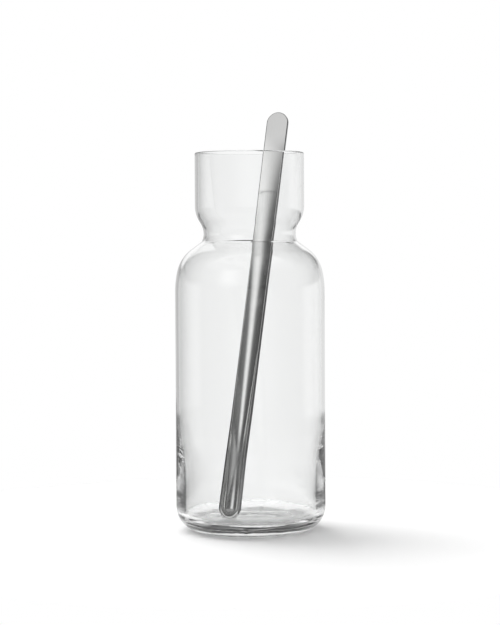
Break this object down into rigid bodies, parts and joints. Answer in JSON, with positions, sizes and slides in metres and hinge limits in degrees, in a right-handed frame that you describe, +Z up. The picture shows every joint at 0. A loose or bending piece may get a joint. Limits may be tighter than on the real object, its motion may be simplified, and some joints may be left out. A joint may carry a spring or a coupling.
{
  "type": "carafe with mixing spoon",
  "caption": "Clear glass carafe with a narrow waist under a straight open mouth; a long steel mixing spoon stands inside, leans on the rim and lifts out.",
  "frame": {"origin": "on the carafe's axis, in the plane of the ring that it stands on", "axes": "+Z up along the carafe's axis, -Y towards whoever stands in front of the open side of the spoon, +X to that person's right"},
  "size_m": [0.1, 0.1, 0.2812],
  "materials": {
    "clear_glass": "clear, fire-polished",
    "polished_steel": "polished stainless sheet"
  },
  "bodies": {
    "carafe": {"glass_carafe": "clear_glass"},
    "spoon": {"mixing_spoon": "polished_steel"}
  },
  "joints": [
    {"name": "spoon_lift", "type": "slide", "parent": "carafe", "child": "spoon", "axis": [0, 0, 1], "range_m": [0, 0.26]}
  ]
}
